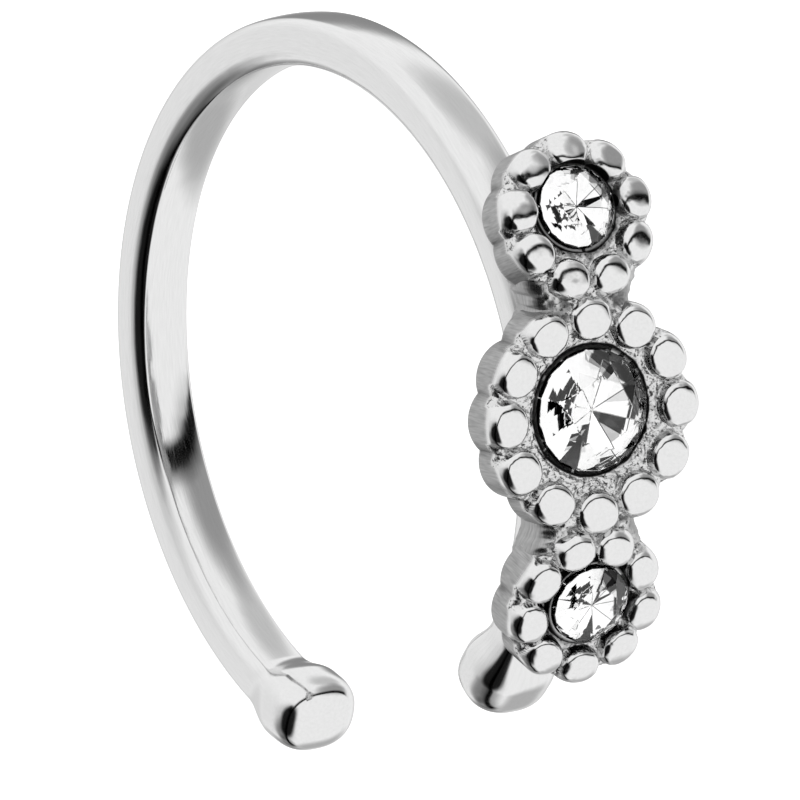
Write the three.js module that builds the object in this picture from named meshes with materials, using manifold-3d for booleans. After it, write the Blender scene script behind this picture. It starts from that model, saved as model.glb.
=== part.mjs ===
// Ear cuff: an open hoop of flat wire with a knob on each end, and a setting of three beaded
// flowers soldered across its front, each flower holding one round crystal.
// Millimetres, +Z up. The cuff lies on its side, as it rests on a table.
import * as THREE from "three";
import { ConvexGeometry } from "three/addons/geometries/ConvexGeometry.js";
import { mergeVertices } from "three/addons/utils/BufferGeometryUtils.js";
import Module from "manifold-3d";

const wasm = await Module();
wasm.setup();

const { abs, cos, sin, PI } = Math;
const rad = THREE.MathUtils.degToRad;
const turn = 2 * PI;

// Hoop. Its axis is Z, and angles run counter-clockwise from the middle flower.
const insideDiameter = 10;
const wire = {
  thickness: 0.65, // from the inside of the hoop to the outside
  innerWidth: 0.84, // along the hoop's axis, at its inside face
  outerWidth: 0.96, // along the hoop's axis, near its outside face
  innerEdge: 0.06, // radius of the edges beside the inside face
  outerEdge: 0.18, // radius of the edges beside the outside face
  edgeSteps: 3,
  hoopSteps: 80,
};
const insideRadius = insideDiameter / 2;
const outsideRadius = insideRadius + wire.thickness;
const wireRadius = insideRadius + wire.thickness / 2;
const opening = { centre: rad(-81.6), halfAngle: rad(32.7) }; // to the middles of the knobs

// Knobs: rounded blocks with a small flat pad on the end that presses on the ear.
const knob = {
  along: 0.65, // half its size along the wire
  across: 0.61, // half its size from the inside of the hoop to the outside
  axial: 0.7, // half its size along the hoop's axis
  boxiness: 2.6, // 2 is an ellipsoid, and higher is squarer
  pad: 0.6, // distance from the knob's middle to its flat pad
};

// Setting. Each flower is made in its own frame: its back on z = 0, its face towards +Z,
// and +Y along the row of flowers.
const plateThickness = 0.64;
const flowerSpacing = 3.02;
const bow = rad(4.8); // how far the outer flowers are stepped back towards the hoop
const tip = rad(19); // how far the outer flowers are tipped outwards
const valleyShare = 0.95; // radius of the scalloped edge between two beads, over its largest
const web = { width: 1.5, back: 0.42, front: 0.06 }; // the metal that joins two flowers
const solderDepth = 0.03; // how far the back of the middle flower runs into the hoop

// The setting was soldered by hand, so it stands a few degrees out of true on the hoop.
const settingLean = rad(-4.1);
const settingTwist = rad(-4.5);
const settingSkew = rad(-1.8);
const settingShift = -0.2; // along the hoop's axis

const largeFlower = {
  beads: 12, circle: 1.41,
  beadAlong: 0.37, beadRadial: 0.36, beadHeight: 0.28, stone: 1.86,
};
const smallFlower = {
  beads: 9, circle: 0.97,
  beadAlong: 0.33, beadRadial: 0.31, beadHeight: 0.26, stone: 1.12,
};

// sink is how far a flower sits below its place, and stoneRise is how far its crystal's
// girdle stands above the face of the plate. row counts flowers from the middle one.
const flowers = [
  { node: "crystal_top", row: 1, firstBead: rad(90), sink: 0, stoneRise: 0.03, ...smallFlower },
  { node: "crystal_middle", row: 0, firstBead: rad(90), sink: 0, stoneRise: 0, ...largeFlower },
  { node: "crystal_bottom", row: -1, firstBead: rad(-90), sink: 0.14, stoneRise: 0.14, ...smallFlower },
];
const seatClearance = 0.05;
const seatShift = 0.1; // the seats are cut a little off their flowers' centres, along the row

// Crystal: a round brilliant cut, its sizes as shares of its diameter.
const cut = { table: 0.56, crown: 0.15, star: 0.6, girdle: 0.03, pavilion: 0.43, lower: 0.76 };

// How the cuff comes to rest on its side: the hoop's far side and the flowers' edges touch
// the table.
const restLean = rad(-7.43);
const restRoll = rad(-1.47);

const metal = new THREE.MeshStandardMaterial({ color: 0xd9dadb, metalness: 1, roughness: 0.12 });
const glass = new THREE.MeshStandardMaterial({ color: 0xf4f7fa, metalness: 0, roughness: 0.02 });

// A closed geometry as a manifold solid.
function solidOf(geometry) {
  const bare = geometry.clone();
  for (const name of Object.keys(bare.attributes)) {
    if (name !== "position") bare.deleteAttribute(name);
  }
  const merged = mergeVertices(bare);
  const corners = merged.index.array;
  const kept = [];
  for (let i = 0; i < corners.length; i += 3) {
    const [a, b, c] = corners.subarray(i, i + 3);
    if (a !== b && b !== c && c !== a) kept.push(a, b, c);
  }
  const mesh = new wasm.Mesh({
    numProp: 3,
    vertProperties: merged.attributes.position.array,
    triVerts: new Uint32Array(kept),
  });
  return new wasm.Manifold(mesh);
}

function geometryOf(solid) {
  const mesh = solid.getMesh();
  const geometry = new THREE.BufferGeometry();
  geometry.setAttribute("position", new THREE.BufferAttribute(mesh.vertProperties, 3));
  geometry.setIndex(new THREE.BufferAttribute(mesh.triVerts, 1));
  geometry.computeVertexNormals();
  return geometry;
}

function shifted(x, y, z) {
  return new THREE.Matrix4().makeTranslation(x, y, z);
}

// A rounded edge of the wire's section: a quarter circle about (x, y).
function edge(x, y, radius, start) {
  const points = [];
  for (let i = 0; i <= wire.edgeSteps; i++) {
    const a = start + (i / wire.edgeSteps) * (PI / 2);
    points.push(new THREE.Vector2(x + radius * cos(a), y + radius * sin(a)));
  }
  return points;
}

// The full hoop about the Z axis, before its opening is cut.
function fullHoop() {
  const inX = insideRadius + wire.innerEdge;
  const inY = wire.innerWidth / 2 - wire.innerEdge;
  const outX = outsideRadius - wire.outerEdge;
  const outY = wire.outerWidth / 2 - wire.outerEdge;
  const section = [
    ...edge(outX, outY, wire.outerEdge, 0),
    ...edge(inX, inY, wire.innerEdge, PI / 2),
    ...edge(inX, -inY, wire.innerEdge, PI),
    ...edge(outX, -outY, wire.outerEdge, 1.5 * PI),
  ];
  section.push(section[0].clone());
  return new THREE.LatheGeometry(section, wire.hoopSteps).rotateX(PI / 2);
}

// The wedge of space between the two knobs' middles.
function openingWedge() {
  const reach = 2 * outsideRadius;
  const depth = 4 * wire.outerWidth;
  const shape = new THREE.Shape([new THREE.Vector2(0, 0)]);
  for (const side of [-1, 0, 1]) {
    const a = opening.centre + side * opening.halfAngle;
    shape.lineTo(reach * cos(a), reach * sin(a));
  }
  const wedge = new THREE.ExtrudeGeometry(shape, { depth, bevelEnabled: false });
  return wedge.translate(0, 0, -depth / 2);
}

// A knob on the wire's end, a superellipsoid cut off flat at its pad. side is -1 at the
// opening's later end and 1 at its earlier end, and the pad faces into the opening.
function endKnob(side) {
  const block = new THREE.SphereGeometry(1, 22, 14);
  const position = block.attributes.position;
  const point = new THREE.Vector3();
  for (let i = 0; i < position.count; i++) {
    point.fromBufferAttribute(position, i);
    const sum = point.toArray().reduce((total, v) => total + abs(v) ** knob.boxiness, 0);
    point.multiplyScalar(sum ** (-1 / knob.boxiness));
    position.setXYZ(i, point.x * knob.across, point.y * knob.along, point.z * knob.axial);
  }
  const offcut = new THREE.BoxGeometry(2, 1, 2).translate(0, side * (knob.pad + 0.5), 0);
  const place = new THREE.Matrix4()
    .makeRotationZ(opening.centre - side * opening.halfAngle)
    .multiply(shifted(wireRadius, 0, 0));
  return solidOf(block.applyMatrix4(place)).subtract(solidOf(offcut.applyMatrix4(place)));
}

// The scalloped outline of a flower: between beads its radius falls as |cos| falls.
function flowerOutline(flower) {
  const outer = flower.circle + flower.beadRadial;
  const steps = flower.beads * 6;
  const points = [];
  for (let i = 0; i < steps; i++) {
    const a = (i / steps) * turn;
    const lobe = abs(cos((flower.beads * (a - flower.firstBead)) / 2)) ** 0.8;
    const r = outer * (valleyShare + (1 - valleyShare) * lobe);
    points.push(new THREE.Vector2(r * cos(a), r * sin(a)));
  }
  return new THREE.Shape(points);
}

// The scalloped body of a flower with its ring of beads, before the seat is cut.
function flowerBody(flower) {
  const extrude = { depth: plateThickness, bevelEnabled: false };
  let body = solidOf(new THREE.ExtrudeGeometry(flowerOutline(flower), extrude));
  for (let i = 0; i < flower.beads; i++) {
    const bead = new THREE.SphereGeometry(1, 12, 8)
      .rotateX(PI / 2)
      .scale(flower.beadRadial, flower.beadAlong, flower.beadHeight)
      .translate(flower.circle, 0, plateThickness)
      .rotateZ(flower.firstBead + (i / flower.beads) * turn);
    body = body.add(solidOf(bead));
  }
  return body;
}

// Height of a crystal's girdle above its flower's back.
function girdleHeight(flower) {
  return plateThickness + flower.stoneRise;
}

// The seat: a cup for the crystal's point, a wall round its girdle, and a mouth that opens
// between the beads.
function seatCut(flower) {
  const wall = flower.stone / 2 + seatClearance;
  const mouth = flower.circle - flower.beadRadial * 0.5;
  const girdle = girdleHeight(flower);
  const profile = [
    new THREE.Vector2(0, girdle - flower.stone * cut.pavilion - 2 * seatClearance),
    new THREE.Vector2(wall, girdle - flower.stone * cut.girdle - seatClearance),
    new THREE.Vector2(wall, plateThickness - 0.03),
    new THREE.Vector2(mouth, plateThickness + 0.1),
    new THREE.Vector2(mouth, plateThickness + 1),
    new THREE.Vector2(0, plateThickness + 1),
  ];
  const cutter = new THREE.LatheGeometry(profile, 36).rotateX(PI / 2);
  return solidOf(cutter.translate(0, seatShift, 0));
}

// A round brilliant as one convex solid: table, crown mains, girdle, lower girdle facets
// and culet.
function crystalGeometry(diameter) {
  const points = [];
  const ring = (count, shift, radius, z) => {
    for (let i = 0; i < count; i++) {
      const a = ((i + shift) / count) * turn;
      points.push(new THREE.Vector3(radius * cos(a), radius * sin(a), z));
    }
  };
  const girdle = diameter / 2;
  ring(8, 0, girdle * cut.table, diameter * cut.crown);
  ring(8, 0.5, girdle * (cut.table + (1 - cut.table) * 0.5), diameter * cut.crown * cut.star);
  ring(16, 0, girdle, 0);
  ring(16, 0, girdle, -diameter * cut.girdle);
  ring(8, 0.5, girdle * (1 - cut.lower) * 1.04,
    -diameter * (cut.girdle + (cut.pavilion - cut.girdle) * cut.lower));
  points.push(new THREE.Vector3(0, 0, -diameter * cut.pavilion));
  return new ConvexGeometry(points);
}

// Where a flower stands on the setting: the middle one upright, and its neighbours stepped
// back by the bow and tipped outwards about the middles of their faces.
function flowerPlace(flower) {
  const along = flower.row * flowerSpacing;
  return shifted(0, along * cos(bow) - seatShift, plateThickness - abs(along) * sin(bow))
    .multiply(new THREE.Matrix4().makeRotationX(-flower.row * tip))
    .multiply(shifted(0, 0, -plateThickness - flower.sink));
}

// The metal between the middle flower and a neighbour, which also stands on the hoop.
function webSolid(middle, outer) {
  const side = outer.row;
  const front = plateThickness - web.front;
  const points = [];
  for (const x of [-web.width / 2, web.width / 2]) {
    for (const z of [-web.back / 2, front]) {
      const near = new THREE.Vector3(x, side * middle.circle * 0.9, z);
      points.push(near.applyMatrix4(flowerPlace(middle)));
    }
    for (const z of [-web.back, front]) {
      const far = new THREE.Vector3(x * 0.9, -side * outer.circle * 0.8, z);
      points.push(far.applyMatrix4(flowerPlace(outer)));
    }
  }
  return solidOf(new ConvexGeometry(points));
}

// The setting's frame on the hoop: its +Z points out of the hoop, and its +Y runs round it.
const settingPlace = shifted(outsideRadius - solderDepth, 0, settingShift)
  .multiply(new THREE.Matrix4().makeRotationZ(settingLean))
  .multiply(new THREE.Matrix4().makeRotationY(settingTwist))
  .multiply(new THREE.Matrix4().makeRotationX(settingSkew))
  .multiply(new THREE.Matrix4().makeRotationY(PI / 2));

// All the metal is one solid: hoop, knobs, webs and flowers, with the seats cut last.
function metalSolid() {
  const [top, middle, bottom] = flowers;
  let setting = webSolid(middle, top).add(webSolid(middle, bottom));
  for (const flower of flowers) {
    setting = setting.add(flowerBody(flower).transform(flowerPlace(flower).elements));
  }
  const inside = new THREE.CylinderGeometry(wireRadius, wireRadius, 6, 64).rotateX(PI / 2);
  let metalwork = solidOf(fullHoop())
    .subtract(solidOf(openingWedge()))
    .add(endKnob(1))
    .add(endKnob(-1))
    .add(setting.transform(settingPlace.elements).subtract(solidOf(inside)));
  for (const flower of flowers) {
    const place = new THREE.Matrix4().multiplyMatrices(settingPlace, flowerPlace(flower));
    metalwork = metalwork.subtract(seatCut(flower).transform(place.elements));
  }
  return metalwork;
}

const cuff = new THREE.Group();
cuff.rotation.set(restRoll, restLean, 0);

const hoop = new THREE.Mesh(geometryOf(metalSolid()), metal);
hoop.name = "hoop_with_setting";
cuff.add(hoop);

for (const flower of flowers) {
  const crystal = new THREE.Mesh(crystalGeometry(flower.stone), glass);
  crystal.name = flower.node;
  crystal.applyMatrix4(
    new THREE.Matrix4()
      .multiplyMatrices(settingPlace, flowerPlace(flower))
      .multiply(shifted(0, seatShift, girdleHeight(flower))),
  );
  cuff.add(crystal);
}

// The origin is on the table, under the middle of the cuff's box.
const part = new THREE.Group();
part.add(cuff);
part.updateMatrixWorld(true);
const box = new THREE.Box3().setFromObject(part, true);
const middle = box.getCenter(new THREE.Vector3());
cuff.position.set(-middle.x, -middle.y, -box.min.z);

export default part;
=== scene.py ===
from math import cos, pi, radians, sin, tau

import bmesh
import bpy
import numpy as np
from mathutils import Matrix, Vector


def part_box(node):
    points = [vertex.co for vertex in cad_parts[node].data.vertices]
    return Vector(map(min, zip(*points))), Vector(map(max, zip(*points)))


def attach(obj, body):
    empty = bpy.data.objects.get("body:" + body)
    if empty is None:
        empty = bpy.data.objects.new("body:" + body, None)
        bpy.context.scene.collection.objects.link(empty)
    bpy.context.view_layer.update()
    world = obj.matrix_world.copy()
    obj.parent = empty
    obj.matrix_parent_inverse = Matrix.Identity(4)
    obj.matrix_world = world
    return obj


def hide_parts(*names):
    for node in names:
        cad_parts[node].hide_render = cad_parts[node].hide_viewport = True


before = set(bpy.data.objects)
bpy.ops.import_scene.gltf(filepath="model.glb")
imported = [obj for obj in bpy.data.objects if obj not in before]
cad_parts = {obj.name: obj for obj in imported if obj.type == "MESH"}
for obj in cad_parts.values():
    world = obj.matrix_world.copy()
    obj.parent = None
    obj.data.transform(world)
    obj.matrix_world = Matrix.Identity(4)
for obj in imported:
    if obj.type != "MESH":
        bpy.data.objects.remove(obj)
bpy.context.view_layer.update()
millimetre = 0.001
print("frame loaded")

# How the pieces stand: the hoop's axis is Z, and its angles run counter-clockwise from the
# middle flower. All these values but settingShift are the CAD's.
stance = {
    "restLean": radians(-7.43),
    "restRoll": radians(-1.47),
    "hoopOutside": 5.65,  # the CAD hoop's radius, which the setting's place is worked out from
    "settingLean": radians(-4.1),
    "settingTwist": radians(-4.5),
    "settingSkew": radians(-1.8),
    "settingShift": -0.175,  # along the hoop's axis
    "solderDepth": 0.03,  # how far the middle flower's back is inside that radius
}


def shifted(x, y, z):
    return Matrix.Translation((x, y, z))


def turned(angle, axis):
    return Matrix.Rotation(angle, 4, axis)


# Points of any array shape, moved by a matrix.
def moved(points, matrix):
    m = np.array(matrix)
    return points @ m[:3, :3].T + m[:3, 3]


# sRGB hex to a linear colour.
def linear(hexColour):
    share = np.array([int(hexColour[i:i + 2], 16) for i in (1, 3, 5)]) / 255
    light = np.where(share <= 0.04045, share / 12.92, ((share + 0.055) / 1.055) ** 2.4)
    return (*light.tolist(), 1)


# Smoothstep: 0 at low, 1 at high, and level at both.
def smooth(low, high, x):
    t = np.clip((x - low) / (high - low), 0, 1)
    return t * t * (3 - 2 * t)


# Lumps from -1 to 1: random heights on a square lattice, joined by smoothstep.
def lumps(x, y, size, seed):
    rows, columns = 97, 89  # the lattice repeats after this many
    heights = np.random.default_rng(seed).uniform(-1, 1, (rows, columns))
    gx, gy = x / size, y / size
    ix, iy = np.floor(gx).astype(int), np.floor(gy).astype(int)
    fx, fy = smooth(0, 1, gx - ix), smooth(0, 1, gy - iy)
    row, nextRow = ix % rows, (ix + 1) % rows
    column, nextColumn = iy % columns, (iy + 1) % columns
    near = heights[row, column] * (1 - fx) + heights[nextRow, column] * fx
    far = heights[row, nextColumn] * (1 - fx) + heights[nextRow, nextColumn] * fx
    return near * (1 - fy) + far * fy


# A closed piece from rings of points: array (rings, steps, 3) in millimetres, with the first
# and last ring shrunk to a pole. around and along are the surface's own millimetres, for its
# UV map, and each attribute is an array (rings, steps).
def ringPiece(name, rings, around, along, attributes):
    count, steps, _ = rings.shape
    inner = rings[1:-1].reshape(-1, 3)
    verts = np.vstack([rings[0, :1], inner, rings[-1, :1]])
    ids = 1 + np.arange((count - 2) * steps).reshape(count - 2, steps)
    nextIds = np.roll(ids, -1, axis=1)
    quads = np.stack([ids[:-1], nextIds[:-1], nextIds[1:], ids[1:]], -1).reshape(-1, 4)
    first = np.stack([np.zeros(steps, int), nextIds[0], ids[0]], -1)
    last = np.stack([np.full(steps, len(verts) - 1), ids[-1], nextIds[-1]], -1)
    mesh = bpy.data.meshes.new(name)
    mesh.vertices.add(len(verts))
    mesh.vertices.foreach_set("co", verts.ravel())
    corners = np.concatenate([first.ravel(), quads.ravel(), last.ravel()])
    sizes = np.concatenate([np.full(steps, 3), np.full(len(quads), 4), np.full(steps, 3)])
    mesh.loops.add(len(corners))
    mesh.loops.foreach_set("vertex_index", corners)
    mesh.polygons.add(len(sizes))
    mesh.polygons.foreach_set("loop_start", np.concatenate([[0], np.cumsum(sizes)[:-1]]))
    mesh.polygons.foreach_set("use_smooth", np.ones(len(sizes), bool))
    u = np.broadcast_to(np.append(around, 2 * around[-1] - around[-2]), (count, steps + 1))
    v = np.broadcast_to(along.reshape(count, -1), (count, steps + 1))
    uv = np.stack([u, v], -1)
    left, right = uv[1:-1, :-1], uv[1:-1, 1:]
    quadUv = np.stack([left[:-1], right[:-1], right[1:], left[1:]], -2).reshape(-1, 2)
    firstUv = np.stack([uv[0, :-1], right[0], left[0]], -2).reshape(-1, 2)
    lastUv = np.stack([uv[-1, :-1], left[-1], right[-1]], -2).reshape(-1, 2)
    layer = mesh.uv_layers.new(name="metalMillimetres")
    layer.data.foreach_set("uv", np.vstack([firstUv, quadUv, lastUv]).ravel())
    for key, values in attributes.items():
        flat = np.concatenate([values[0, :1], values[1:-1].ravel(), values[-1, :1]])
        mesh.attributes.new(key, "FLOAT", "POINT").data.foreach_set("value", flat)
    mesh.update(calc_edges=True)
    mesh.validate()
    return outward(linked(name, mesh))


def linked(name, mesh):
    piece = bpy.data.objects.new(name, mesh)
    bpy.context.scene.collection.objects.link(piece)
    return piece


def pointsOf(piece):
    co = np.empty(len(piece.data.vertices) * 3)
    piece.data.vertices.foreach_get("co", co)
    return co.reshape(-1, 3)


# Turns every face outwards by the sign of the mesh's volume.
def outward(piece):
    mesh = piece.data
    co = pointsOf(piece)
    mesh.calc_loop_triangles()
    tris = np.empty(len(mesh.loop_triangles) * 3, np.int32)
    mesh.loop_triangles.foreach_get("vertices", tris)
    a, b, c = (co[tris.reshape(-1, 3)[:, k]] for k in range(3))
    if np.einsum("ij,ij->i", a, np.cross(b, c)).sum() < 0:
        mesh.flip_normals()
    return piece


# One small node: its type, its settings by socket or property name, and its links, by socket.
# "stops" are a colour ramp's, as grey levels by place, and a hex text is a colour.
def add(tree, kind, settings=None, links=None):
    node = tree.nodes.new(kind)
    for key, value in (settings or {}).items():
        if key == "stops":
            elements = node.color_ramp.elements
            while len(elements) < len(value):
                elements.new(0.5)
            for element, (position, level) in zip(elements, value):
                element.position = position
                element.color = (level, level, level, 1)
        elif isinstance(key, str) and hasattr(node, key):
            setattr(node, key, value)
        else:
            isHex = isinstance(value, str) and value.startswith("#")
            node.inputs[key].default_value = linear(value) if isHex else value
    for key, source in (links or {}).items():
        tree.links.new(source, node.inputs[key])
    return node


def emptyMaterial(name):
    material = bpy.data.materials.new(name)
    material.use_nodes = True
    material.node_tree.nodes.clear()
    return material, material.node_tree


# The setting: three flowers in a row, the outer two stepped back towards the hoop.
setting = {
    "plateThickness": 0.64,
    "spacing": 2.965,  # from the middle of one flower to the next
    "bow": radians(4.8),  # how far the row is stepped back
    "tip": radians(19),  # how far an outer flower is tipped outwards
    "plateShift": 0.07,  # the row is shifted by this, and the crystals by their seatShift
    "seatClearance": 0.06,  # round a crystal
}
plateThickness = setting["plateThickness"]

# Radii and heights in millimetres; "stone" is the crystal's diameter.
largeFlower = {
    "beads": 12, "circle": 1.44, "outer": 1.79, "stone": 1.84,
    "beadAlong": 0.35, "beadInward": 0.315, "beadHeight": 0.16,
    "fan": radians(1),  # how far the beads lean outwards
    "beadFlat": 3.8, "shoulderFlat": 3,  # boxiness on the crystal's side and on the rim's
    "moat": 0.02, "moatWidth": 0.1, "moatPaintedShade": 0.1,  # the hollow round the crystal, and how dark its painted shade is
}
smallFlower = {
    "beads": 9, "circle": 0.97, "outer": 1.285, "stone": 1.24,
    "beadAlong": 0.335, "beadInward": 0.29, "beadHeight": 0.18,
    "fan": radians(8),
    "beadFlat": 3, "shoulderFlat": 2.5,
    "moat": 0.02, "moatWidth": 0.13, "moatPaintedShade": 0.5,
}
# "row" is a flower's place in the row. It stands lower by its sink, and its crystal's girdle
# stands above the plate by stoneRise, a little off the flower's middle by seatShift.
flowers = [
    {"name": "top", "row": 1, "firstBead": radians(90), "sink": 0, "seed": 3,
     "seatShift": 0.13, "stoneRise": 0.03, "stoneDepth": 0.16,
     "stoneTurn": radians(12), "stoneSeed": 40, **smallFlower},
    {"name": "middle", "row": 0, "firstBead": radians(90), "sink": 0, "seed": 5,
     "seatShift": 0.07, "stoneRise": 0, "stoneDepth": 0.16,
     "stoneTurn": radians(5), "stoneSeed": 27, **largeFlower},
    {"name": "bottom", "row": -1, "firstBead": radians(-90), "sink": 0.14, "seed": 8,
     "seatShift": 0.07, "stoneRise": 0.12, "stoneDepth": 0.13,
     "stoneTurn": radians(30), "stoneSeed": 52, **smallFlower},
]

settingPlace = (
    shifted(stance["hoopOutside"] - stance["solderDepth"], 0, stance["settingShift"])
    @ turned(stance["settingLean"], "Z")
    @ turned(stance["settingTwist"], "Y")
    @ turned(stance["settingSkew"], "X")
    @ turned(radians(90), "Y")
)


# Where a flower stands: stepped back by the bow and tipped about the middle of its face.
def flowerPlace(flower):
    along = flower["row"] * setting["spacing"]
    y = along * cos(setting["bow"]) - setting["plateShift"]
    z = plateThickness - abs(along) * sin(setting["bow"])
    return (
        settingPlace
        @ shifted(0, y, z)
        @ turned(-flower["row"] * setting["tip"], "X")
        @ shifted(0, 0, -plateThickness - flower["sink"])
    )


# The crystals' cut, as shares of the diameter; the star and lower halves as shares of the
# facets that they cut into.
crystalCut = {
    "table": 0.56, "crown": 0.15, "star": 0.5, "girdle": 0.03, "lower": 0.76,
    "wear": 0.0045,  # how far an edge between facets is worn back to each side; a dark line is painted there
    "crease": radians(3),  # flatter edges than this aren't edges of facets
    "foilSlope": 0.1,  # a face that looks up less than this is girdle or foil
    "paintedFoilShades": [0, 0.5, 1], "foilShares": [0.93, 0.02, 0.05],  # a few facets are painted dark as reflections
}


# A round brilliant in its flower's frame. Rings of points, evenly spaced round a circle, at a
# share of the radius and at a height: the table, the tips of the star facets, the girdle's two
# edges, the tips of the lower halves, and the culet.
def crystalPiece(flower):
    size, cut = flower["stone"], crystalCut
    radius = size / 2

    def ring(count, shift, share, z):
        a = (np.arange(count) + shift) / count * tau + flower["stoneTurn"]
        reach = radius * share
        return np.stack([reach * np.cos(a), reach * np.sin(a), np.full(count, z)], -1)

    starShare = cut["table"] + (1 - cut["table"]) * cut["star"]
    kite = (1 - starShare * cos(pi / 8)) / (1 - cut["table"])  # keeps the main facets flat
    depth = flower["stoneDepth"] - cut["girdle"]
    lowShare = 1 - cut["lower"]
    lowDepth = flower["stoneDepth"] - depth * lowShare * cos(pi / 8)
    points = np.vstack([
        ring(8, 0, cut["table"], size * cut["crown"]),
        ring(8, 0.5, starShare, size * cut["crown"] * kite),
        ring(16, 0, 1, 0),
        ring(16, 0, 1, -size * cut["girdle"]),
        ring(8, 0.5, lowShare, -size * lowDepth),
        [[0, 0, -size * flower["stoneDepth"]]],
    ])
    table, star, top, low, tips, culet = 0, 8, 16, 32, 48, 56  # each ring's first point
    faces = [list(range(8))]
    for i in range(8):
        after, before = (i + 1) % 8, (i - 1) % 8
        g, gAfter, gBefore = 2 * i, (2 * i + 1) % 16, (2 * i - 1) % 16
        faces.append([table + i, star + i, table + after])
        faces.append([table + i, star + before, top + g, star + i])
        faces.append([star + i, top + g, top + gAfter])
        faces.append([star + before, top + gBefore, top + g])
        faces.append([culet, tips + i, low + g])
        faces.append([culet, low + g, tips + before])
        faces.append([tips + i, low + gAfter, low + g])
        faces.append([tips + before, low + g, low + gBefore])
    for g in range(16):
        faces.append([top + g, low + g, low + (g + 1) % 16, top + (g + 1) % 16])
    mesh = bpy.data.meshes.new("crystal")
    seated = points + [0, flower["seatShift"], plateThickness + flower["stoneRise"]]
    mesh.from_pydata(seated.tolist(), [], faces)
    shell = bmesh.new()
    shell.from_mesh(mesh)
    bmesh.ops.recalc_face_normals(shell, faces=shell.faces)
    shade = shell.faces.layers.float.new("shade")
    draw = np.random.default_rng(flower["stoneSeed"])
    for face in shell.faces:
        face.material_index = int(face.normal.z < cut["foilSlope"])
        face[shade] = float(draw.choice(cut["paintedFoilShades"], p=cut["foilShares"]))
        if abs(face.normal.z) < cut["foilSlope"]:
            face[shade] = 1  # the girdle is painted dark as shade
    creased = [edge for edge in shell.edges if edge.calc_face_angle() > cut["crease"]]
    bevelled = bmesh.ops.bevel(shell, geom=creased, offset=size * cut["wear"], segments=1,
                           profile=0.5, affect="EDGES")
    for face in bevelled["faces"]:
        face[shade] = 1  # a thin dark line is painted along the edges of the facets
    shell.to_mesh(mesh)
    shell.free()
    return linked("crystal_stone_" + flower["name"], mesh)


flowerFinish = {
    "lobeDepth": 0.072,  # how far the edge draws in between two beads, over its radius
    "backEdge": 0.05,
    "valleyPaintedShade": 0.5, "valleyFrom": 0.36,  # painted shade: the wall darkens in the last of the way to a valley
    "sawnUntil": 0.8,  # share of the wall's height that keeps the full saw marks
    "backSawn": 0.4,
    "beadOverhang": 1.25,  # a bead would reach this much past the edge, which cuts it off
    "shoulder": 0.3,  # over this width a bead turns from beadFlat to shoulderFlat
    "rimRound": 0.13,  # the rounded edge between face and wall
    "faceDip": 0.05,  # how far the cast face lies below the edge of the plate
    "castLump": 0.02, "castSize": 0.11, "castFineSize": 0.05, "castFineShare": 0.6,
    "beadLean": radians(4), "beadShift": 0.018, "beadLift": 0.015,  # cast beads differ a little
    "dent": 0.006, "dentSize": 0.19,
    "castUntil": 0.15, "polishedFrom": 0.5,  # shares of a bead's height
    "seatWander": 0.015, "seatWanderSize": 0.2,  # the seat's edge isn't quite round
    "seatPaintedShade": 0.015, "seatPaintedShadeFade": 0.04,  # painted shade: black this far out from the seat, then fading
    "moatFull": 0.02,
    "seatDrop": 0.1,  # from the crystal's cone down to the seat
    "seatFloor": 0.08,  # least metal under the seat, which the back bulges to keep
    "stepsPerBead": 44,
    "backShares": (0, 0.08, 0.16, 0.24, 0.35, 0.6, 0.85, 0.96),  # rings across the back
    "edgeRings": 5, "wallRings": 13, "faceRings": 84, "seatRings": 7,
    "faceEase": 0.1,  # draws the face's rings together at its rim and at the seat
    "floorShares": (0.9, 0.7, 0.5, 0.3, 0.1, 0),  # rings across the seat's floor
    "wallLength": 0.6, "faceLength": 1, "seatLength": 0.2,  # for the marks' scale
}


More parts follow.
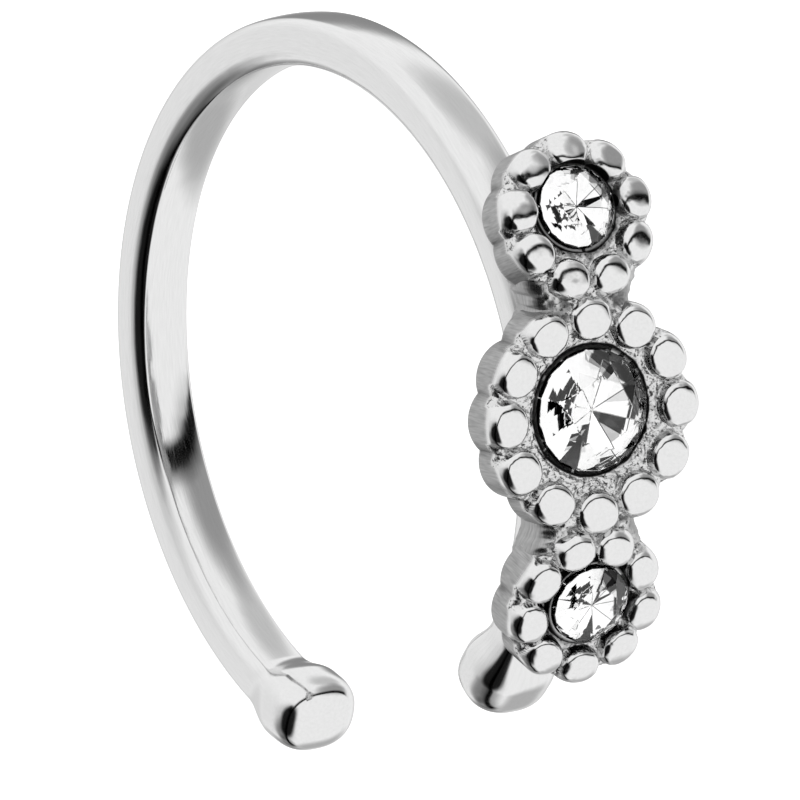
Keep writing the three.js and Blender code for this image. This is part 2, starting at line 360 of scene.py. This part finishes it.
# One flower: rings run from the middle of its back, up its wall, over the beads and the cast
# face between them, and down the crystal's seat. The wall's radius is the plate's, less the
# square of the share of the way from a bead to the valley beside it, times the lobe depth.
def flowerPiece(flower):
    finish, seed = flowerFinish, flower["seed"]
    steps = flower["beads"] * finish["stepsPerBead"]
    a = np.arange(steps) / steps * tau
    outerRadius = flower["outer"]
    spacing = tau / flower["beads"]
    fromBead = (a - flower["firstBead"]) / spacing
    fromBead = np.abs(fromBead - np.round(fromBead))
    outline = outerRadius * (1 - finish["lobeDepth"] * (2 * fromBead) ** 2)
    edge = np.stack([np.cos(a), np.sin(a)], -1) * outline[:, None]
    wall = flower["stone"] / 2 + setting["seatClearance"]
    seatShift = flower["seatShift"]
    seat = np.stack([wall * np.cos(a), wall * np.sin(a) + seatShift], -1)
    girdle = plateThickness + flower["stoneRise"]

    wobble = np.random.default_rng(seed).uniform(-1, 1, (4, flower["beads"]))

    # height of the face: the cast floor, dropping to the rim, and from it each bead rises as a
    # superellipse, flat on top, round towards the rim, and leaning outwards
    def faceHeight(x, y):
        angle = np.arctan2(y, x) - flower["firstBead"]
        bead = np.round(angle / spacing).astype(int)
        aside, outwards, lift, lean = wobble[:, bead % flower["beads"]]
        own = angle - bead * spacing
        r = np.hypot(x, y)
        across = r * np.cos(own) - flower["circle"] - finish["beadShift"] * outwards
        along = r * np.sin(own) - finish["beadShift"] * aside
        overRim = (outerRadius - flower["circle"]) * finish["beadOverhang"]
        reach = np.where(across > 0, overRim, flower["beadInward"])
        out = np.hypot(across / reach, along / flower["beadAlong"])
        rounding = smooth(0, finish["shoulder"], across)
        flat = flower["beadFlat"] + (flower["shoulderFlat"] - flower["beadFlat"]) * rounding
        dome = np.clip(1 - out ** flat, 0, 1) ** (1 / flat)
        cast = lumps(x, y, finish["castSize"], seed)
        cast = cast + finish["castFineShare"] * lumps(x, y, finish["castFineSize"], seed + 40)
        floor = finish["castLump"] * cast - finish["faceDip"]
        edgeHere = outerRadius * (1 - finish["lobeDepth"] * (2 * own / spacing) ** 2)
        inset = np.clip(1 - (edgeHere - r) / finish["rimRound"], 0, 1)
        rim = finish["rimRound"] * (1 - np.sqrt(1 - inset ** 2))
        wander = finish["seatWander"] * lumps(x, y, finish["seatWanderSize"], seed + 60)
        near = np.hypot(x, y - seatShift) - wall + wander
        moat = smooth(flower["moatWidth"], finish["moatFull"], near)
        floor = floor - flower["moat"] * moat
        top = flower["beadHeight"] + finish["beadLift"] * lift
        top = top + finish["dent"] * lumps(x, y, finish["dentSize"], seed + 80)
        top = top - np.tan(flower["fan"] + finish["beadLean"] * lean) * across
        # painted shade: black just outside the seat and darker in the hollow round the crystal, off
        # the beads
        seatShade = smooth(finish["seatPaintedShadeFade"], finish["seatPaintedShade"], near)
        dark = np.maximum(moat * flower["moatPaintedShade"], seatShade) * (1 - dome)
        rough = 1 - smooth(finish["castUntil"], finish["polishedFrom"], dome)
        return floor + (top - floor) * dome - rim, rough, dark

    rings, masks, along = [], [], []

    def addRing(xy, z, travelled, rough=0, dark=0, sawn=0):
        rings.append(np.column_stack([xy, np.broadcast_to(z, steps)]))
        masks.append([np.broadcast_to(mask, steps) for mask in (rough, dark, sawn)])
        along.append(travelled)

    # the seat follows the cone of the crystal's back
    def seatHeight(r):
        return girdle + (2 * r - flower["stone"]) * flower["stoneDepth"] - finish["seatDrop"]

    for share in finish["backShares"]:
        z = np.minimum(0, seatHeight(outline * share) - finish["seatFloor"])
        addRing(edge * share, z, (share - 1) * outerRadius, sawn=finish["backSawn"])
    backEdge = finish["backEdge"]
    for t in np.linspace(0, 1, finish["edgeRings"]):
        bend = backEdge * (1 - sin(t * pi / 2))
        xy = edge * (1 - bend / outline)[:, None]
        addRing(xy, backEdge * (1 - cos(t * pi / 2)), t * backEdge, sawn=1)
    # painted shade in the wall's valleys, fading from its back towards its face
    valleyShade = finish["valleyPaintedShade"] * smooth(finish["valleyFrom"], 0.5, fromBead)
    topEdge = plateThickness + faceHeight(edge[:, 0], edge[:, 1])[0]
    for t in np.linspace(0, 1, finish["wallRings"] + 2)[1:-1]:
        addRing(edge, backEdge + (topEdge - backEdge) * t, backEdge + t * finish["wallLength"],
                dark=valleyShade * (1 - t), sawn=1 - smooth(finish["sawnUntil"], 1, t))
    travelled = backEdge + finish["wallLength"]
    for t in np.linspace(0, 1, finish["faceRings"]):
        q = t - finish["faceEase"] * sin(tau * t)
        xy = edge * (1 - q) + seat * q
        height, rough, dark = faceHeight(xy[:, 0], xy[:, 1])
        addRing(xy, plateThickness + height, travelled + q * finish["faceLength"], rough, dark)
    travelled += finish["faceLength"]
    brink = rings[-1][:, 2]
    # the seat's wall is rough and painted black as shade
    for t in np.linspace(0, 1, finish["seatRings"] + 1)[1:]:
        z = brink + (seatHeight(wall) - brink) * t
        addRing(seat, z, travelled + finish["seatLength"] * t, 1, 1)
    travelled += finish["seatLength"]
    for share in finish["floorShares"]:
        xy = (seat - [0, seatShift]) * share + [0, seatShift]
        addRing(xy, seatHeight(wall * share), travelled + (1 - share) * wall)
    masks = np.array(masks)
    return ringPiece("flower_" + flower["name"], np.array(rings), a * outerRadius, np.array(along),
                     {"rough": masks[:, 0], "dark": masks[:, 1], "sawn": masks[:, 2]})


neck = {
    "width": 1.92, "waist": 0.3, "back": 0.42, "front": -0.02,
    "boxiness": 3.6,  # of its section: 2 is an ellipse
    "middleShare": 0.85, "outerShare": 0.7,  # its ends, as shares of the two rings of beads
    "castLump": 0.05, "castSize": 0.16, "castFineSize": 0.06, "castFineShare": 0.6,
    "castFrom": 0.3, "castFull": 0.8,  # sines of the angle round it: its front is cast
    "oxide": 0.75, "oxideFull": -0.6, "oxideFrom": 0.5,  # darkest in the hollows of the lumps
    "ripple": 0.02, "rippleAlong": 0.0625, "rippleAround": 0.5,  # the filed sides aren't flat
    "patternShift": 3,
    "rings": 70, "steps": 180,
}


# The neck between the middle flower and a neighbour: a superellipse in section, carried along a
# straight line, its width less the waist times the squared sine of the way along, with lumps
# added to its front.
def neckPiece(outer):
    middle, side, seed = flowers[1], outer["row"], outer["seed"]
    t = np.linspace(0, 1, neck["rings"])
    a = (np.arange(neck["steps"]) + 0.5) / neck["steps"] * tau
    near = np.array([0, side * middle["circle"] * neck["middleShare"], 0, 1])
    far = np.array([0, -side * outer["circle"] * neck["outerShare"], 0, 1])
    home = np.array(settingPlace.inverted())
    near = (home @ (near @ np.array(flowerPlace(middle)).T))[:3]
    far = (home @ (far @ np.array(flowerPlace(outer)).T))[:3]
    half = (neck["width"] - neck["waist"] * np.sin(pi * t) ** 2) / 2
    low, high = -neck["back"], plateThickness - neck["front"]
    tall, centre = (high - low) / 2, (high + low) / 2
    n = neck["boxiness"]
    reach = (np.abs(np.cos(a) / half[:, None]) ** n + np.abs(np.sin(a) / tall) ** n) ** (-1 / n)
    x, z = reach * np.cos(a), reach * np.sin(a) + centre
    path = near + (far - near) * t[:, None]
    y = path[:, 1:2] + 0 * x
    front = smooth(neck["castFrom"], neck["castFull"], np.sin(a))
    castX = x + neck["patternShift"]
    cast = lumps(castX, y, neck["castSize"], seed + 7)
    cast = cast + neck["castFineShare"] * lumps(castX, y, neck["castFineSize"], seed + 9)
    z = z + path[:, 2:3] + neck["castLump"] * cast * front
    stretch = neck["rippleAround"] / neck["rippleAlong"]
    x = x + neck["ripple"] * lumps(y * stretch, a + 0 * x, neck["rippleAround"], seed)
    rings = np.stack([x, y, z], -1)
    rings[0], rings[-1] = near + [0, 0, centre], far + [0, 0, centre]
    rough = np.broadcast_to(front, x.shape)
    dark = neck["oxide"] * front * smooth(neck["oxideFrom"], neck["oxideFull"], cast)
    return ringPiece("neck_" + outer["name"], rings, a * half.mean(),
                     t * np.linalg.norm(far - near),
                     {"rough": rough, "sawn": 1 - rough, "dark": dark})


hoop = {
    "wireRadius": 5.363,  # to the middle of the wire
    "thickness": 0.785,  # from the middle of its inside face to the middle of its outside face
    "width": 0.99,  # along the hoop's axis
    # bent in by hand: in full at angles below insetTo, and not at all above insetFrom
    "inset": 0.065, "insetFrom": radians(202), "insetTo": radians(110),
    "innerBow": radians(15),  # how far the inside face turns over its half width
    "innerTurn": radians(45),  # where the crisp inner edge gives way to the domed side
    "innerEdge": 0.09,
    "sideDome": 0.34,
    "sideStart": radians(84),  # the side's flat turns from here to as far past square
    "outerBow": radians(9),
    "outerEdge": 0.22,
    "edgeSteps": [12, 8, 14, 3, 3, 10, 10],  # for each stretch of half the section
    "opening": radians(-81.55),
    "openingHalf": radians(32.65),
    "steps": 560,
}
endKnob = {
    "along": 0.6, "across": 0.6, "axial": 0.69,  # from its middle
    "boxiness": 2.4,  # of its outline seen end on: 2 is an ellipse
    "endBoxiness": 3.6,  # of its end, seen from the side
    "neck": 0.78, "neckEnd": 0.04,  # it swells between these distances before its middle
    "linedUntil": 0.4, "plainFrom": 0.3,  # where the polishing lines die out, before and past it
    "neckSteps": 60, "endSteps": 40,
}


# The wire's section, walked along its edge from the middle of the inside face to the middle of
# the outside face, and mirrored. Each stretch turns by a fixed angle. The arcs have a radius,
# and the three faces are as long as the thickness and the width ask for.
def wireSection():
    h = hoop
    turns = [0, h["innerBow"], h["innerTurn"], h["sideStart"], pi / 2, pi - h["sideStart"],
             pi - h["outerBow"], pi]
    radii = [None, h["innerEdge"], h["sideDome"], None, None, h["outerEdge"], None]
    heading = [start + (end - start) * (np.arange(count) + 0.5) / count
               for start, end, count in zip(turns, turns[1:], h["edgeSteps"])]
    step = np.array([[np.sin(a).mean(), np.cos(a).mean()] for a in heading])
    length = np.array([0 if radius is None else radius * (end - start)
                       for radius, start, end in zip(radii, turns, turns[1:])])
    inner, side, outer = [0], [3, 4], [6]  # the stretches that have no radius
    sums = np.array([[step[group, 0].sum() for group in (inner, side, outer)],
                     [step[0, 1], step[3, 1], 0],
                     [0, step[4, 1], step[6, 1]]])
    arcs = step * length[:, None]
    wanted = [h["thickness"] - arcs[:, 0].sum(), h["width"] / 2 - arcs[:4, 1].sum(),
              -h["width"] / 2 - arcs[4:, 1].sum()]
    length[[0, 3, 6]] = np.linalg.solve(sums, wanted)
    length[4] = length[3]
    lengths = np.concatenate([np.full(count, whole / count)
                              for whole, count in zip(length, h["edgeSteps"])])
    headings = np.concatenate(heading)
    radial = np.append(0, np.cumsum(lengths * np.sin(headings))) - h["thickness"] / 2
    axial = np.append(0, np.cumsum(lengths * np.cos(headings)))
    travelled = np.append(0, np.cumsum(lengths))
    whole = 2 * travelled[-1]
    return (
        np.concatenate([radial, radial[-2:0:-1]]),
        np.concatenate([axial, -axial[-2:0:-1]]),
        np.concatenate([travelled, whole - travelled[-2:0:-1]]),
    )


# The hoop and its knobs: the section is carried round the hoop. Over the neck it swells by
# smoothstep into a superellipse. Past the knob's middle that one runs straight on, and its size
# is the root, by endBoxiness, of one less the share of the knob's length to that power.
def hoopPiece():
    radial, axial, travelled = wireSection()
    reach = np.hypot(radial, axial)
    direction = np.stack([radial, axial]) / reach
    wireRadius = hoop["wireRadius"]
    start = hoop["opening"] + hoop["openingHalf"]
    end = hoop["opening"] - hoop["openingHalf"] + tau
    n, m = endKnob["boxiness"], endKnob["endBoxiness"]
    psi = np.linspace(0, pi / 2, endKnob["endSteps"])[1:]
    past = endKnob["along"] * np.sin(psi) ** (2 / m)  # distance past the knob's middle
    before = np.linspace(-endKnob["neck"], 0, endKnob["neckSteps"])
    turnNeck = endKnob["neck"] / wireRadius
    body = np.linspace(start + turnNeck, end - turnNeck, hoop["steps"])[1:-1]
    offsets = np.concatenate([
        past[::-1], before[::-1], np.full(len(body), before[0]), before, past,
    ])
    angles = np.concatenate([
        np.full(len(past), start), start - before[::-1] / wireRadius, body,
        end + before / wireRadius, np.full(len(past), end),
    ])
    middle = wireRadius - hoop["inset"] * smooth(hoop["insetFrom"], hoop["insetTo"], angles)
    side = np.where(np.arange(len(offsets)) < len(offsets) / 2, -1, 1)
    scale = np.clip(1 - np.abs(offsets / endKnob["along"]) ** m, 0, 1) ** (1 / m)
    knobReach = ((np.abs(direction[0]) / endKnob["across"]) ** n
                 + (np.abs(direction[1]) / endKnob["axial"]) ** n) ** (-1 / n)
    swell = smooth(-endKnob["neck"], -endKnob["neckEnd"], offsets)[:, None]
    grown = np.where(offsets[:, None] > 0, scale[:, None] * knobReach,
                     reach + (knobReach - reach) * swell)
    outR = middle[:, None] + grown * direction[0]
    z = grown * direction[1]
    onward = np.clip(offsets, 0, None) * side
    c, s = np.cos(angles)[:, None], np.sin(angles)[:, None]
    rings = np.stack([outR * c - onward[:, None] * s, outR * s + onward[:, None] * c, z], -1)
    lined = smooth(endKnob["plainFrom"], -endKnob["linedUntil"], offsets)[:, None]
    return ringPiece("hoop_wire", rings, travelled, angles * wireRadius + onward,
                     {"lined": np.broadcast_to(lined, rings.shape[:2])})


# Every piece, with its place in the hoop's frame.
placed = [(hoopPiece(), Matrix())]
for flower in flowers:
    placed.append((flowerPiece(flower), flowerPlace(flower)))
    if flower["row"]:
        placed.append((neckPiece(flower), settingPlace))
metalPieces = [piece for piece, _ in placed]
crystals = {flower["name"]: crystalPiece(flower) for flower in flowers}
placed += [(crystals[flower["name"]], flowerPlace(flower)) for flower in flowers]

# The place at rest: the middle crystal's front and its middle from side to side are where the
# CAD has them, and the lowest point touches the floor.
restTurn = turned(stance["restRoll"], "X") @ turned(stance["restLean"], "Y")
middleStone = moved(pointsOf(crystals["middle"]), restTurn @ flowerPlace(flowers[1]))
stoneLow, stoneHigh = middleStone.min(axis=0), middleStone.max(axis=0)
cadLow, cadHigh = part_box("crystal_middle")
lowest = min(moved(pointsOf(piece), restTurn @ place)[:, 2].min() for piece, place in placed)
restShift = Vector((
    cadHigh[0] / millimetre - stoneHigh[0],
    (cadLow[1] + cadHigh[1]) / 2 / millimetre - (stoneLow[1] + stoneHigh[1]) / 2,
    -lowest,
))
restPlace = Matrix.Translation(restShift) @ restTurn
for piece, place in placed:
    points = moved(pointsOf(piece), restPlace @ place) * millimetre
    piece.data.vertices.foreach_set("co", points.ravel())
    piece.data.update()
print("shapes made, rest shift", [round(v, 3) for v in restShift])


# Cast steel, polished where it stands proud: bright and nearly colourless, with fine lines along
# the wire and a slightly wavy surface that bends its reflections. Its cast skin between the beads
# is pitted, its sawn edges are grey with fine marks through the plate, and the hollows of the necks
# are dark with matt oxide. The flowers' seats, the hollows round their crystals and the valleys of
# their walls are painted dark as shade, black at the edge of a seat.
steelFinish = {
    "bright": "#dddddd", "grey": "#d2d2d2", "sawn": "#a2a2a2",
    # the dark colour: oxide in the necks' hollows, and painted shade on the flowers
    "cast": "#d0d0d0", "pit": "#3c3c3c", "dark": "#1a1a1a",
    "polishedRoughness": 0.07, "linedRoughness": 0.15, "sawnRoughness": 0.3,
    "castRoughness": 0.2, "oxideAndShadeRoughness": 0.6,
    # in millimetres; the marks of a real file and mop are finer, and are drawn to show
    "markWidth": 0.028, "markLength": 0.35, "markDepth": 0.004, "lineDepth": 0.0005,
    "pitSize": 0.05, "pitDepth": 0.009, "waveSize": 0.55, "waveDepth": 0.004,
    "pitStops": [(0.35, 0), (0.45, 1)],  # noise below the first is a pit
    "noiseLow": 0.3, "noiseHigh": 0.7,  # where nearly all of the noise lies
    "markShade": 0.7, "markShine": 1.1,  # the sawn colour is multiplied by these
}


def castSteel():
    finish = steelFinish
    material, tree = emptyMaterial("polished_cast_steel")
    uv = add(tree, "ShaderNodeUVMap", {"uv_map": "metalMillimetres"}).outputs[0]
    place = add(tree, "ShaderNodeTexCoord").outputs["Object"]
    rough, dark, sawn, lined = (
        add(tree, "ShaderNodeAttribute", {"attribute_name": key}).outputs["Fac"]
        for key in ("rough", "dark", "sawn", "lined"))
    streaks = add(tree, "ShaderNodeMapping",
                  {"Scale": (1 / finish["markWidth"], 1 / finish["markLength"], 1)},
                  {"Vector": uv}).outputs[0]
    marks = add(tree, "ShaderNodeTexNoise", {"Scale": 1, "Detail": 2},
                {"Vector": streaks}).outputs[0]
    pits = add(tree, "ShaderNodeTexNoise",
               {"Scale": 1 / (finish["pitSize"] * millimetre), "Detail": 3, "Roughness": 0.6},
               {"Vector": place}).outputs[0]
    waves = add(tree, "ShaderNodeTexNoise",
                {"Scale": 1 / (finish["waveSize"] * millimetre), "Detail": 1},
                {"Vector": place}).outputs[0]
    pitted = add(tree, "ShaderNodeValToRGB", {"stops": finish["pitStops"]},
                 {"Fac": pits}).outputs[0]
    spread = {"From Min": finish["noiseLow"], "From Max": finish["noiseHigh"]}
    tone = add(tree, "ShaderNodeMapRange",
               {**spread, "To Min": finish["markShade"], "To Max": finish["markShine"]},
               {"Value": marks}).outputs[0]
    grain = add(tree, "ShaderNodeMix", links={0: lined, 2: pits, 3: marks}).outputs[0]

    bright = add(tree, "ShaderNodeMix",
                 {"data_type": "RGBA", 6: finish["bright"], 7: finish["grey"]},
                 {0: grain}).outputs[2]
    skin = add(tree, "ShaderNodeMix",
               {"data_type": "RGBA", 6: finish["pit"], 7: finish["cast"]}, {0: pitted}).outputs[2]
    edge = add(tree, "ShaderNodeMix",
               {"data_type": "RGBA", "blend_type": "MULTIPLY", 0: 1.0, 6: finish["sawn"]},
               {7: tone}).outputs[2]
    colour = add(tree, "ShaderNodeMix", {"data_type": "RGBA"},
                 {0: rough, 6: bright, 7: skin}).outputs[2]
    colour = add(tree, "ShaderNodeMix", {"data_type": "RGBA"},
                 {0: sawn, 6: colour, 7: edge}).outputs[2]
    # the dark mask: oxide in the necks' hollows, and painted shade in the flowers' seats, hollows
    # and valleys
    colour = add(tree, "ShaderNodeMix", {"data_type": "RGBA", 7: finish["dark"]},
                 {0: dark, 6: colour}).outputs[2]

    blur = add(tree, "ShaderNodeMapRange",
               {**spread, "To Min": finish["polishedRoughness"],
                "To Max": finish["linedRoughness"]},
               {"Value": grain}).outputs[0]
    for level, mask in ((finish["castRoughness"], rough), (finish["sawnRoughness"], sawn),
                        (finish["oxideAndShadeRoughness"], dark)):
        blur = add(tree, "ShaderNodeMix", {3: level}, {0: mask, 2: blur}).outputs[0]

    pitHeight = add(tree, "ShaderNodeMath", {"operation": "MULTIPLY"},
                    {0: pits, 1: rough}).outputs[0]
    lineShare = add(tree, "ShaderNodeMapRange",
                    {"To Max": finish["lineDepth"] / finish["markDepth"]},
                    {"Value": lined}).outputs[0]
    markShare = add(tree, "ShaderNodeMath", {"operation": "MAXIMUM"},
                    {0: sawn, 1: lineShare}).outputs[0]
    markHeight = add(tree, "ShaderNodeMath", {"operation": "MULTIPLY"},
                     {0: marks, 1: markShare}).outputs[0]
    normal = None
    for depth, height in ((finish["waveDepth"], waves), (finish["pitDepth"], pitHeight),
                          (finish["markDepth"], markHeight)):
        links = {"Height": height} if normal is None else {"Height": height, "Normal": normal}
        normal = add(tree, "ShaderNodeBump", {"Strength": 1, "Distance": depth * millimetre},
                     links).outputs[0]
    shader = add(tree, "ShaderNodeBsdfPrincipled", {"Metallic": 1},
                 {"Base Color": colour, "Roughness": blur, "Normal": normal})
    add(tree, "ShaderNodeOutputMaterial", links={"Surface": shader.outputs[0]})
    return material


# Cut lead crystal, machine polished: colourless and sharp, with a faint haze where its facets are
# worn. Its foil is fired silver, a clean mirror with a slight mottle. A few of its facets are
# painted dark as dark reflections, and its girdle and thin lines along its facets' edges are
# painted dark as shade.
crystalFinish = {
    "glass": "#ffffff", "ior": 1.6, "hazeSize": 0.12, "haze": 0.03,
    # the dark colour: painted shade on the girdle and along the facets' edges, and painted dark
    # reflections on a few facets
    "silver": "#ffffff", "mottled": "#f0f0f0", "paintedDark": "#2a2a2a", "mottleSize": 0.06,
}


def cutCrystal():
    finish = crystalFinish
    material, tree = emptyMaterial("cut_lead_crystal")
    place = add(tree, "ShaderNodeTexCoord").outputs["Object"]
    wear = add(tree, "ShaderNodeTexNoise",
               {"Scale": 1 / (finish["hazeSize"] * millimetre), "Detail": 3},
               {"Vector": place}).outputs[0]
    haze = add(tree, "ShaderNodeMapRange",
               {"From Min": 0.5, "From Max": 0.8, "To Max": finish["haze"]},
               {"Value": wear}).outputs[0]
    shader = add(tree, "ShaderNodeBsdfPrincipled",
                 {"Base Color": finish["glass"], "IOR": finish["ior"], "Transmission Weight": 1},
                 {"Roughness": haze})
    add(tree, "ShaderNodeOutputMaterial", links={"Surface": shader.outputs[0]})
    return material


def silverFoil():
    finish = crystalFinish
    material, tree = emptyMaterial("fired_silver_foil")
    place = add(tree, "ShaderNodeTexCoord").outputs["Object"]
    shade = add(tree, "ShaderNodeAttribute", {"attribute_name": "shade"}).outputs["Fac"]
    mottle = add(tree, "ShaderNodeTexNoise",
                 {"Scale": 1 / (finish["mottleSize"] * millimetre), "Detail": 2},
                 {"Vector": place}).outputs[0]
    silver = add(tree, "ShaderNodeMix",
                 {"data_type": "RGBA", 6: finish["silver"], 7: finish["mottled"]},
                 {0: mottle}).outputs[2]
    # the foil is painted dark by its shade attribute: shade on the girdle and edges, dark
    # reflections on a few facets
    tone = add(tree, "ShaderNodeMix", {"data_type": "RGBA", 7: finish["paintedDark"]},
               {0: shade, 6: silver}).outputs[2]
    shader = add(tree, "ShaderNodeBsdfPrincipled", {"Metallic": 1, "Roughness": 0},
                 {"Base Color": tone})
    add(tree, "ShaderNodeOutputMaterial", links={"Surface": shader.outputs[0]})
    return material


steel = castSteel()
crystalGlass, foil = cutCrystal(), silverFoil()
for piece in metalPieces:
    piece.data.materials.append(steel)
    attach(piece, "root")
    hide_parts("hoop_with_setting")
for flower in flowers:
    piece = crystals[flower["name"]]
    piece.data.materials.append(crystalGlass)
    piece.data.materials.append(foil)
    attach(piece, "root")
    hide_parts("crystal_" + flower["name"])
print("materials set")

# Camera: a long lens above the floor, turned on its side as the cuff is.
shot = {
    "around": radians(10.351),
    "above": radians(39.928),
    "roll": radians(-103.69),
    "frameWidth": 11.95,  # millimetres, as the three below
    "distance": 400,
    "right": 0.724,
    "up": -0.157,
    "sensorWidth": 36,
}


def aimCamera():
    camera = bpy.data.objects.new("camera", bpy.data.cameras.new("camera"))
    bpy.context.scene.collection.objects.link(camera)
    around, above, roll = shot["around"], shot["above"], shot["roll"]
    back = Vector((cos(around) * cos(above), sin(around) * cos(above), sin(above)))
    level = Vector((-sin(around), cos(around), 0))
    right = level * cos(roll) + back.cross(level) * sin(roll)
    up = back.cross(right)
    target = restPlace @ Vector((0, 0, 0)) + right * shot["right"] + up * shot["up"]
    place = (target + back * shot["distance"]) * millimetre
    turn = Matrix((right, up, back)).transposed().to_4x4()
    camera.matrix_world = Matrix.Translation(place) @ turn
    camera.data.sensor_width = shot["sensorWidth"]
    camera.data.lens = shot["sensorWidth"] * shot["distance"] / shot["frameWidth"]
    camera.data.clip_start = 0.01
    camera.data.clip_end = 10
    bpy.context.scene.camera = camera
    return right, up, back


viewAxes = aimCamera()
print("camera set")

# The studio: a white tent with a dark gap between its panels. Directions are given as seen
# from the camera: to the right, up, and towards it. A patch dims the tent to its level inside
# its core, and not at all beyond its edge.
tent = {
    "white": 1.18, "dark": 0.004,
    "lampFacing": (0.549, -0.731, 0.406),  # a broad lamp, ringed by the gap
    "gap": [(0.22, 0), (0.3, 0.5), (0.36, 1), (0.47, 1), (0.52, 0)],  # by cosine from the lamp
    "gapBreaks": [  # where the gap ends, by cosine
        {"facing": (0.75, 0, -0.66), "from": 0.78, "to": 0.92},
        {"facing": (0.33, -0.67, -0.66), "from": 0.85, "to": 0.95},
    ],
    "patches": [
        {"facing": (-0.62, -0.6, 0.5), "core": radians(15), "edge": radians(62), "level": 0.55},
        {"facing": (-0.5, -0.6, 0.62), "core": radians(28), "edge": radians(47), "level": 0.02},
        {"facing": (-0.5, -0.15, 0.85), "core": radians(4), "edge": radians(15), "level": 0.1},
        {"facing": (-0.35, -0.85, -0.35), "core": radians(8), "edge": radians(30), "level": 0.3},
        {"facing": (0.35, -0.75, -0.56), "core": radians(8), "edge": radians(28), "level": 0.5},
        {"facing": (-0.75, -0.65, -0.1), "core": radians(8), "edge": radians(30), "level": 0.38},
        {"facing": (-0.25, -0.6, -0.76), "core": radians(8), "edge": radians(25), "level": 0.4},
        {"facing": (-0.9, -0.1, -0.4), "core": radians(10), "edge": radians(50), "level": 0.89},
        {"facing": (0.85, 0.5, 0.1), "core": radians(10), "edge": radians(35), "level": 0.35},
        {"facing": (0.42, 0.87, -0.27), "core": radians(6), "edge": radians(24), "level": 0.62},
        {"facing": (0.03, 0.42, -0.9), "core": radians(8), "edge": radians(22), "level": 0.38},
        {"facing": (0, 0, -1), "core": radians(15), "edge": radians(50), "level": 0.68},
    ],
}


# A direction given as seen from the camera, in the world.
def inWorld(facing):
    return sum((axis * share for axis, share in zip(viewAxes, facing)), Vector()).normalized()


def hangTent():
    scene = bpy.context.scene
    scene.view_settings.view_transform = "Standard"
    world = bpy.data.worlds.new("studio")
    scene.world = world
    world.use_nodes = True
    tree = world.node_tree
    tree.nodes.clear()
    ray = add(tree, "ShaderNodeTexCoord").outputs["Generated"]
    lampCosine = add(tree, "ShaderNodeVectorMath",
                     {"operation": "DOT_PRODUCT", 1: inWorld(tent["lampFacing"])},
                     {0: ray}).outputs["Value"]
    share = add(tree, "ShaderNodeMapRange", {"From Min": -1, "From Max": 1},
                {"Value": lampCosine}).outputs[0]
    stops = [(0, 0)] + [((x + 1) / 2, level) for x, level in tent["gap"]] + [(1, 0)]
    dark = add(tree, "ShaderNodeValToRGB", {"stops": stops}, {"Fac": share}).outputs[0]
    for gap in tent["gapBreaks"]:
        cosine = add(tree, "ShaderNodeVectorMath",
                     {"operation": "DOT_PRODUCT", 1: inWorld(gap["facing"])},
                     {0: ray}).outputs["Value"]
        ends = add(tree, "ShaderNodeMapRange",
                   {"interpolation_type": "SMOOTHSTEP", "From Min": gap["from"],
                    "From Max": gap["to"], "To Min": 1, "To Max": 0}, {"Value": cosine}).outputs[0]
        dark = add(tree, "ShaderNodeMath", {"operation": "MULTIPLY"}, {0: dark, 1: ends}).outputs[0]
    light = add(tree, "ShaderNodeMapRange", {"To Min": tent["white"], "To Max": tent["dark"]},
                {"Value": dark}).outputs[0]
    for patch in tent["patches"]:
        cosine = add(tree, "ShaderNodeVectorMath",
                     {"operation": "DOT_PRODUCT", 1: inWorld(patch["facing"])},
                     {0: ray}).outputs["Value"]
        dimmed = add(tree, "ShaderNodeMapRange",
                     {"interpolation_type": "SMOOTHSTEP", "From Min": cos(patch["edge"]),
                      "From Max": cos(patch["core"]), "To Min": 1, "To Max": patch["level"]},
                     {"Value": cosine}).outputs[0]
        light = add(tree, "ShaderNodeMath", {"operation": "MULTIPLY"},
                    {0: light, 1: dimmed}).outputs[0]
    glow = add(tree, "ShaderNodeBackground", {"Strength": 1}, {"Color": light})
    add(tree, "ShaderNodeOutputWorld", links={"Surface": glow.outputs[0]})


# Matt drawing paper: white, with a soft fibrous tooth. It glows, which evens out its shadows.
paperFinish = {
    "white": "#f4f4f4", "shade": "#eeeeee", "roughness": 0.9,
    "fibre": 0.4, "tooth": 0.03,  # millimetres
    "glow": "#ffffff", "glowStrength": 0.8,
    "halfSize": 300,  # millimetres, from its middle to its edge
}


def whitePaper():
    finish = paperFinish
    material, tree = emptyMaterial("matt_drawing_paper")
    place = add(tree, "ShaderNodeTexCoord").outputs["Object"]
    fibre = add(tree, "ShaderNodeTexNoise",
                {"Scale": 1 / (finish["fibre"] * millimetre), "Detail": 4},
                {"Vector": place}).outputs[0]
    tone = add(tree, "ShaderNodeMix",
               {"data_type": "RGBA", 6: finish["white"], 7: finish["shade"]}, {0: fibre}).outputs[2]
    bump = add(tree, "ShaderNodeBump", {"Strength": 1, "Distance": finish["tooth"] * millimetre},
               {"Height": fibre}).outputs[0]
    shader = add(tree, "ShaderNodeBsdfPrincipled",
                 {"Roughness": finish["roughness"], "Emission Color": finish["glow"],
                  "Emission Strength": finish["glowStrength"]},
                 {"Base Color": tone, "Normal": bump})
    add(tree, "ShaderNodeOutputMaterial", links={"Surface": shader.outputs[0]})
    return material


# The floor doesn't show in the metal, where the tent's own light from below stands in for it.
def layPaper():
    mesh = bpy.data.meshes.new("floor")
    half = paperFinish["halfSize"] * millimetre
    corners = [(-half, -half, 0), (half, -half, 0), (half, half, 0), (-half, half, 0)]
    mesh.from_pydata(corners, [], [(0, 1, 2, 3)])
    floor = linked("floor", mesh)
    floor.visible_glossy = False
    mesh.materials.append(whitePaper())


hangTent()
layPaper()
print("studio set")
